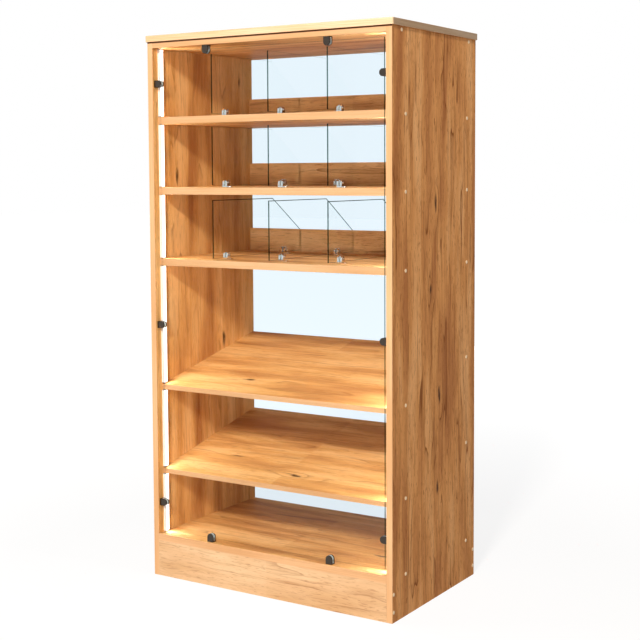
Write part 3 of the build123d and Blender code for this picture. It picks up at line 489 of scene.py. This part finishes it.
oak_side = oak_board("melamine_board_oak_side", "Z", "X", "Z", warm_oak, 1.2)
oak_wall = oak_board("melamine_board_oak_wall", "Z", "X", "Z", gold_oak, 0.6)
oak_shelf = oak_board("melamine_board_oak_shelf", "X", "Z", "X", gold_oak, 0.65)
oak_rail = oak_board("melamine_board_oak_rail", "X", "Y", "X", rail_oak, 0.8)
oak_plinth = oak_board("melamine_board_oak_plinth", "X", "Y", "X", pale_oak, 0.6)
print("boards:", [m.name for m in (oak_side, oak_wall, oak_shelf, oak_rail, oak_plinth)])

# %% [markdown]
# ## The front edge bands
#
# The visible front edges carry a thicker, tougher band: 2 mm of coloured ABS,
# ironed on and rounded over. It is printed with a quiet wood line that follows
# its length, and it looks paler than the decor beside it. On the slab the band
# turns the corners, so its lines are drawn along x + y, which runs along both
# the front and the sides.
#
# Right under the slab the bands show a hard dark line of shade. The slab's
# overhang alone shades that place too weakly, because the second front lamp is
# level with the shelves, so the top few millimetres of the bands there carry a
# painted shade.
# The slab's band is paler than the others in front, and round the corner its
# sides carry a painted shade.
# Its lines and its slow drift of tone are five numbers each, as the marks are.

# %% The band material
slab_underside = span("top_slab", "Z")[0]
# painted shade under the slab: full down to the first depth, gone past the second
painted_shade_full, painted_shade_end = 0.004, 0.0065  # metres below the slab
band_line, band_painted_shade = linear("#C08A54"), linear("#4A2208")
line_depth = 0.45
band_lines = (240.0, 3.2, 0.35, 0.75, 3.0)
band_drift = (420.0, 60.0, 0.3, 0.7, 1.0)
band_mirror = 0.2  # 0.5 is a plain skin
band_smooth, band_rough = 0.42, 0.52  # beside a line and on it
band_relief = 0.0001  # metres


def abs_band(name, upright, pale, deep, painted_side_shade=1.0):
    """2 mm ABS edge band with printed lines along it, in tones from pale to deep. The last argument is a
    painted shade on its right and left sides: how bright they are, where the front is 1."""
    made, tree = new_material(name)
    place = add(tree, "ShaderNodeTexCoord").outputs["Object"]
    x, y, z = add(tree, "ShaderNodeSeparateXYZ", {0: place}).outputs
    round_corner = add(tree, "ShaderNodeMath", {0: x, 1: y}, operation="ADD").outputs[0]
    along, across = (z, round_corner) if upright else (round_corner, z)
    space = add(tree, "ShaderNodeCombineXYZ", {0: along, 1: across})
    space = add(tree, "ShaderNodeVectorMath", {0: space.outputs[0], "Scale": METRE}, operation="SCALE").outputs[0]
    lines = fibre(tree, space, *band_lines)
    drift = fibre(tree, space, *band_drift)
    colour = add(tree, "ShaderNodeMix", {0: drift, 6: linear(pale), 7: linear(deep)},
                 data_type="RGBA").outputs[2]
    part = add(tree, "ShaderNodeMath", {0: lines, 1: line_depth}, operation="MULTIPLY")
    colour = add(tree, "ShaderNodeMix", {0: part.outputs[0], 6: colour, 7: band_line},
                 data_type="RGBA").outputs[2]
    # painted shade: faces looking along X are darkened to the given share of the front
    turned = add(tree, "ShaderNodeMix", {0: faces_towards(tree, "X"), 2: 1.0, 3: painted_side_shade})
    colour = add(tree, "ShaderNodeHueSaturation", {"Color": colour, "Value": turned.outputs[0]}).outputs[0]
    # painted shade: the top few millimetres under the slab turn towards a deep brown
    below = add(tree, "ShaderNodeMath", {0: slab_underside, 1: z}, operation="SUBTRACT")
    shade = add(tree, "ShaderNodeMapRange", {"Value": below.outputs[0], "From Min": painted_shade_full,
                                             "From Max": painted_shade_end, "To Min": 1.0, "To Max": 0.0})
    under = add(tree, "ShaderNodeMath", {0: below.outputs[0], 1: 0.0}, operation="GREATER_THAN")
    shade = add(tree, "ShaderNodeMath", {0: shade.outputs[0], 1: under.outputs[0]}, operation="MULTIPLY")
    colour = add(tree, "ShaderNodeMix", {0: shade.outputs[0], 6: colour, 7: band_painted_shade},
                 data_type="RGBA").outputs[2]
    relief = add(tree, "ShaderNodeBump", {"Height": lines, "Strength": 0.2, "Distance": band_relief})
    shine = add(tree, "ShaderNodeMapRange", {"Value": lines, "To Min": band_smooth, "To Max": band_rough})
    skin = add(tree, "ShaderNodeBsdfPrincipled",
               {"Base Color": colour, "Roughness": shine.outputs[0], "IOR": 1.52,
                "Specular IOR Level": band_mirror, "Normal": relief.outputs[0]})
    add(tree, "ShaderNodeOutputMaterial", {"Surface": skin.outputs[0]})
    return made


band_upright = abs_band("abs_edge_band_oak_upright", True, "#E6B88A", "#D8A676")
band_level = abs_band("abs_edge_band_oak_level", False, "#E0B184", "#D29F6F")
# the slab's band gets a painted shade on its sides, at half the front's brightness
band_slab = abs_band("abs_edge_band_oak_slab", False, "#F3D3AE", "#E8C094", 0.5)
print("bands:", band_upright.name, band_level.name, band_slab.name)

# %% [markdown]
# ## The glass
#
# Float glass is clear through its faces, and its cut edges look deep sea-green,
# because light reaches them through the whole width of the pane. The faces and
# edges are told apart by their direction, as on the boards. Plain float glass
# has an IOR of 1.5 and would lay a white veil of mirrored ground over the
# shelves. The photograph shows no veil, so the IOR is matched to that and stays
# under 1.1, as if the glass had an anti-glare coat.
#
# In the photograph an edge darkens what is behind it: nearly black before the
# white ground, a fine brown line before wood. So an edge only tints the light
# that passes straight through it, and from inside it tints nothing. The lowest
# dividers stand just under the eye, and there the top and sloping edges show as
# dark lines too. Real glass lets the lamps through; a path tracer would keep
# that light out, so rays from lamps and from matt surfaces pass through plainly.

# %% The glass material
glass_tint = linear("#FDFEFE")
smear_scale = 14.0  # to the metre: smears of about 70 mm
haze_most = 0.004  # roughness of a faint smear
ground_rim = 0.0025  # metres of a divider's face beside its top edge that look dark
sloping = 0.2  # a normal's part along Z from which an edge counts as top or sloping


def float_glass(name, face, ior, edge_tint, top=None):
    """Clear float glass. Its broad faces look along the axis face, and edge_tint is what its cut edges pass.
    With top, the height of its top edge, the top and sloping edges are dark from inside too."""
    made, tree = new_material(name)
    place = add(tree, "ShaderNodeTexCoord").outputs["Object"]
    smear = add(tree, "ShaderNodeTexNoise", {"Vector": place, "Scale": smear_scale, "Detail": 4.0})
    haze = add(tree, "ShaderNodeMapRange", {"Value": smear.outputs[0], "From Min": 0.45, "From Max": 0.75,
                                            "To Min": 0.0, "To Max": haze_most})
    broad = faces_towards(tree, face)
    clear = add(tree, "ShaderNodeBsdfPrincipled",
                {"Base Color": glass_tint, "Roughness": haze.outputs[0], "IOR": ior, "Transmission Weight": 1.0})
    inside = add(tree, "ShaderNodeNewGeometry").outputs["Backfacing"]
    outside = add(tree, "ShaderNodeMath", {0: 1.0, 1: inside}, operation="SUBTRACT").outputs[0]
    dark = add(tree, "ShaderNodeMath", {0: outside, 1: broad}, operation="SUBTRACT", use_clamp=True).outputs[0]
    if top:
        normal = add(tree, "ShaderNodeTexCoord").outputs["Normal"]
        slope = add(tree, "ShaderNodeSeparateXYZ", {0: normal}).outputs[2]
        slope = add(tree, "ShaderNodeMath", {0: slope}, operation="ABSOLUTE").outputs[0]
        slope = add(tree, "ShaderNodeMath", {0: slope, 1: sloping}, operation="GREATER_THAN").outputs[0]
        height = add(tree, "ShaderNodeSeparateXYZ", {0: place}).outputs[2]
        rim = add(tree, "ShaderNodeMath", {0: height, 1: top - ground_rim}, operation="GREATER_THAN").outputs[0]
        for part in (slope, rim):
            dark = add(tree, "ShaderNodeMath", {0: dark, 1: part}, operation="MAXIMUM").outputs[0]
    colour = add(tree, "ShaderNodeMix", {0: dark, 6: glass_tint, 7: linear(edge_tint)}, data_type="RGBA")
    passed = add(tree, "ShaderNodeBsdfTransparent", {"Color": colour.outputs[2]})
    path = add(tree, "ShaderNodeLightPath")
    plain = add(tree, "ShaderNodeMath", {0: path.outputs["Is Shadow Ray"], 1: path.outputs["Is Diffuse Ray"]},
                operation="MAXIMUM").outputs[0]
    edge = add(tree, "ShaderNodeMath", {0: 1.0, 1: broad}, operation="SUBTRACT").outputs[0]
    for part in (edge, dark):
        plain = add(tree, "ShaderNodeMath", {0: plain, 1: part}, operation="MAXIMUM").outputs[0]
    pane = add(tree, "ShaderNodeMixShader", {0: plain, 1: clear.outputs[0], 2: passed.outputs[0]})
    add(tree, "ShaderNodeOutputMaterial", {"Surface": pane.outputs[0]})
    return made


low_top = span("divider_3_1", "Z")[1]
glass_pane = float_glass("float_glass_6_mm_pane", "Y", 1.08, "#66837F")
glass_divider = float_glass("float_glass_5_mm_divider", "X", 1.05, "#5A7571")
glass_divider_low = float_glass("float_glass_5_mm_divider_low", "X", 1.05, "#5A7571", low_top)
print("glass:", glass_pane.name, glass_divider.name, glass_divider_low.name)

# %% [markdown]
# ## The metals
#
# The glass clips are zinc castings with a dark satin nickel plate, the divider
# clips have bright chrome, the screws are zinc-plated steel, and the inlet's pins
# are bare brass. All are metals, so their colour is in the reflection. What tells
# them apart is tone and roughness: cast and tumbled plate is smooth over one or
# two millimetres, and turned steel and brass have finer marks.

# %% The metal material
tone_low, tone_high = 0.85, 1.12  # of the colour's value, over the marks


def plated_metal(name, colour, roughness, mark, depth):
    """Metal whose surface marks are mark mm wide and depth metres deep."""
    made, tree = new_material(name)
    place = add(tree, "ShaderNodeTexCoord").outputs["Object"]
    marks = add(tree, "ShaderNodeTexNoise", {"Vector": place, "Scale": METRE / mark, "Detail": 3.0})
    value = add(tree, "ShaderNodeMapRange", {"Value": marks.outputs[0], "To Min": tone_low, "To Max": tone_high})
    tone = add(tree, "ShaderNodeHueSaturation", {"Color": linear(colour), "Value": value.outputs[0]})
    shine = add(tree, "ShaderNodeMapRange", {"Value": marks.outputs[0], "To Min": roughness * 0.75,
                                             "To Max": roughness * 1.3})
    relief = add(tree, "ShaderNodeBump", {"Height": marks.outputs[0], "Strength": 0.3, "Distance": depth})
    skin = add(tree, "ShaderNodeBsdfPrincipled",
               {"Base Color": tone.outputs[0], "Metallic": 1.0, "Roughness": shine.outputs[0],
                "Normal": relief.outputs[0]})
    add(tree, "ShaderNodeOutputMaterial", {"Surface": skin.outputs[0]})
    return made


clip_nickel = plated_metal("satin_nickel_plated_zinc", "#4E463F", 0.22, 1.2, 0.00004)
fork_chrome = plated_metal("bright_chrome_plated_zinc", "#E2DDD6", 0.05, 2.0, 0.00002)
screw_zinc = plated_metal("zinc_plated_steel", "#B6B7B4", 0.32, 0.8, 0.00003)
pin_brass = plated_metal("bare_brass", "#C9A55A", 0.25, 0.8, 0.00002)
print("metals:", clip_nickel.name, fork_chrome.name, screw_zinc.name, pin_brass.name)

# %% [markdown]
# ## The plastics
#
# The end caps, lead clips, driver case, inlet and cover caps are injection
# moulded, and the leads have a PVC jacket. Moulded parts carry the fine spark
# pattern of their tool, a fraction of a millimetre across, drawn here about
# twice as coarse, and a faint cloudiness of tone. The light profiles are extruded
# aluminium, but what shows is their white powder coat, which is a plastic too.

# %% The moulded material
spark_depth = 0.00005  # metres
cloud_scale = 90.0  # to the metre: clouds of about 11 mm


def moulded_plastic(name, colour, roughness, spark):
    """Injection-moulded plastic with a spark texture of spark mm."""
    made, tree = new_material(name)
    place = add(tree, "ShaderNodeTexCoord").outputs["Object"]
    cloud = add(tree, "ShaderNodeTexNoise", {"Vector": place, "Scale": cloud_scale, "Detail": 2.0})
    grain = add(tree, "ShaderNodeTexNoise", {"Vector": place, "Scale": METRE / spark, "Detail": 1.0})
    value = add(tree, "ShaderNodeMapRange", {"Value": cloud.outputs[0], "To Min": 0.9, "To Max": 1.08})
    tone = add(tree, "ShaderNodeHueSaturation", {"Color": linear(colour), "Value": value.outputs[0]})
    shine = add(tree, "ShaderNodeMapRange", {"Value": grain.outputs[0], "To Min": roughness * 0.85,
                                             "To Max": roughness * 1.15})
    relief = add(tree, "ShaderNodeBump", {"Height": grain.outputs[0], "Strength": 0.25, "Distance": spark_depth})
    skin = add(tree, "ShaderNodeBsdfPrincipled",
               {"Base Color": tone.outputs[0], "Roughness": shine.outputs[0], "IOR": 1.53,
                "Normal": relief.outputs[0]})
    add(tree, "ShaderNodeOutputMaterial", {"Surface": skin.outputs[0]})
    return made


cap_grey = moulded_plastic("moulded_grey_abs", "#A6A8AA", 0.45, 0.6)
jacket_pvc = moulded_plastic("pvc_lead_jacket", "#E4E2DC", 0.4, 1.0)
case_white = moulded_plastic("moulded_white_polycarbonate", "#ECEBE8", 0.4, 0.5)
profile_white = moulded_plastic("white_powder_coated_aluminium", "#F4EFE9", 0.5, 0.8)
inlet_black = moulded_plastic("moulded_black_nylon", "#1D1D1F", 0.38, 0.5)
cap_beige = moulded_plastic("moulded_beige_cover_cap", "#EBCFA6", 0.4, 0.7)
print("plastics:", [m.name for m in (cap_grey, jacket_pvc, case_white, profile_white, inlet_black, cap_beige)])

# %% [markdown]
# ## The light runs
#
# Under each cover lies a white circuit tape with a diode every 16.7 mm, and the
# cover is opal acrylic, which spreads their points into one even band. A cover
# strong enough to light the shelves would draw a ragged edge in the picture, so
# the work is shared: the cover glows at twice white, and a slim lamp of the same
# size, a millimetre in front of it and not seen itself, lights the boards.

# %% Cover
cover_strength = 2.0
opal_cover, tree = new_material("opal_acrylic_lit")
place = add(tree, "ShaderNodeTexCoord").outputs["Object"]
cloud = add(tree, "ShaderNodeTexNoise", {"Vector": place, "Scale": 120.0, "Detail": 1.0})
satin = add(tree, "ShaderNodeMapRange", {"Value": cloud.outputs[0], "To Min": 0.45, "To Max": 0.6})
skin = add(tree, "ShaderNodeBsdfPrincipled",
           {"Base Color": linear("#F7F5F0"), "Roughness": satin.outputs[0], "IOR": 1.49,
            "Emission Color": linear("#FFFDFA"), "Emission Strength": cover_strength})
add(tree, "ShaderNodeOutputMaterial", {"Surface": skin.outputs[0]})
print("cover strength", cover_strength)

# %% Tape
diode_pitch, diode_long = 16.7, 3.5  # mm
diode_tape, tree = new_material("white_solder_mask_tape")
place = add(tree, "ShaderNodeTexCoord").outputs["Object"]
height = add(tree, "ShaderNodeSeparateXYZ", {0: place}).outputs[2]
step = add(tree, "ShaderNodeMath", {0: height, 1: METRE / diode_pitch}, operation="MULTIPLY")
step = add(tree, "ShaderNodeMath", {0: step.outputs[0]}, operation="FRACT")
diode = add(tree, "ShaderNodeMath", {0: step.outputs[0], 1: diode_long / diode_pitch}, operation="LESS_THAN")
colour = add(tree, "ShaderNodeMix", {0: diode.outputs[0], 6: linear("#F1F0EA"), 7: linear("#F2D56A")},
             data_type="RGBA")
skin = add(tree, "ShaderNodeBsdfPrincipled", {"Base Color": colour.outputs[2], "Roughness": 0.35, "IOR": 1.5})
add(tree, "ShaderNodeOutputMaterial", {"Surface": skin.outputs[0]})
print("diodes every", diode_pitch, "mm")

# %% [markdown]
# The glass clips grip the pane between soft pads of clear silicone rubber, and
# the divider clips have a liner of it. All are thin and mostly hidden, so a
# milky, half transparent skin is enough.

# %% Clear pads
clear_pad, tree = new_material("clear_silicone_pad")
place = add(tree, "ShaderNodeTexCoord").outputs["Object"]
cloud = add(tree, "ShaderNodeTexNoise", {"Vector": place, "Scale": 300.0, "Detail": 2.0})
satin = add(tree, "ShaderNodeMapRange", {"Value": cloud.outputs[0], "To Min": 0.3, "To Max": 0.5})
skin = add(tree, "ShaderNodeBsdfPrincipled",
           {"Base Color": linear("#DDE3E2"), "Roughness": satin.outputs[0], "IOR": 1.41,
            "Transmission Weight": 0.6})
add(tree, "ShaderNodeOutputMaterial", {"Surface": skin.outputs[0]})
print("pads:", clear_pad.name)

# %% [markdown]
# Each run gets its slim lamp. The runs are not listed again here: each cover is
# a plain strip, so the heights of all corners, sorted, are the bottom and top of
# one run after another, and both sides have the same.

# %% The light of the runs
run_power = 2.9  # watts of light for each metre
run_colour = linear("#F2F7FF")[:3]
run_gap = 0.001  # metres from a cover to its lamp
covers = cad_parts["light_covers"]
corners = [covers.matrix_world @ v.co for v in covers.data.vertices]
run_ends = sorted({round(c.z, 3) for c in corners})
run_front, run_back = span("light_covers", "Y")
run_face = min(abs(c.x) for c in corners) - run_gap
runs = list(zip(run_ends[::2], run_ends[1::2]))
for side in (-1, 1):
    for low, high in runs:
        lamp = bpy.data.lights.new("run_light", "AREA")
        lamp.shape = "RECTANGLE"
        lamp.size, lamp.size_y = run_back - run_front, high - low
        lamp.energy = run_power * (high - low)
        lamp.color = run_colour
        made = bpy.data.objects.new("run_light", lamp)
        made.matrix_world = Matrix((
            (0, 0, side, side * run_face),
            (side, 0, 0, (run_front + run_back) / 2),
            (0, 1, 0, (low + high) / 2),
            (0, 0, 0, 1),
        ))
        made.visible_camera = made.visible_glossy = made.visible_transmission = False
        bpy.context.scene.collection.objects.link(made)
print("runs:", 2 * len(runs), "of", [round(high - low, 3) for low, high in runs], "m")

# %% [markdown]
# ## Beech dowels
#
# The rails are located by beech dowels. Beech is pale and pinkish with short fine
# flecks along the grain, which runs along the dowel, so along X.

# %% The dowel material
beech, tree = new_material("turned_beech")
beech_flecks = (4.0, 0.7, 0.45, 0.65, 2.0)
flecks = fibre(tree, grain_space(tree, "X"), *beech_flecks)
colour = add(tree, "ShaderNodeMix", {0: flecks, 6: linear("#DDB78C"), 7: linear("#BC8F62")}, data_type="RGBA")
skin = add(tree, "ShaderNodeBsdfPrincipled", {"Base Color": colour.outputs[2], "Roughness": 0.6, "IOR": 1.5})
add(tree, "ShaderNodeOutputMaterial", {"Surface": skin.outputs[0]})
print("dowels:", beech.name)

# %% [markdown]
# ## Who wears what
#
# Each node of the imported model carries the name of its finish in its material
# slot. Most finishes go to one material. The boards and bands depend on which
# way the piece lies and where it is, the pane and the lowest dividers have their
# own glass, and the two kinds of clip are plated differently.

# %% Give every node its material
finish_of_slot = {
    "oak_board": oak_shelf,
    "edge_band": band_level,
    "clear_glass": glass_divider,
    "nickel": clip_nickel,
    "steel": screw_zinc,
    "clear_rubber": clear_pad,
    "aluminium": profile_white,
    "tape_board": diode_tape,
    "opal_cover": opal_cover,
    "grey_plastic": cap_grey,
    "lead_jacket": jacket_pvc,
    "driver_case": case_white,
    "black_plastic": inlet_black,
    "brass_pin": pin_brass,
    "cap_plastic": cap_beige,
    "dowel_wood": beech,
}
finish_of_node = {
    "side_panel_left": oak_wall,
    "side_panel_right": oak_side,
    "top_slab_band": band_slab,
    "side_band_left": band_upright,
    "side_band_right": band_upright,
    "back_rail_1": oak_rail,
    "back_rail_2": oak_rail,
    "back_rail_3": oak_rail,
    "plinth_front": oak_plinth,
    "plinth_rear": oak_plinth,
    "front_glass": glass_pane,
    "divider_3_1": glass_divider_low,
    "divider_3_2": glass_divider_low,
    "divider_3_3": glass_divider_low,
    "divider_clips": fork_chrome,
    "divider_clip_clamp_screws": fork_chrome,
}
for name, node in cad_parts.items():
    for slot in node.material_slots:
        slot.material = finish_of_node.get(name, finish_of_slot[slot.material.name.split(".")[0]])
worn = {slot.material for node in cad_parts.values() for slot in node.material_slots}
print("dressed", len(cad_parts), "nodes in", len(worn), "materials")

# %% [markdown]
# ## The colour of the picture
#
# The Standard view shows each colour as it is written, with no film curve over it.

# %% View
bpy.context.scene.view_settings.view_transform = "Standard"
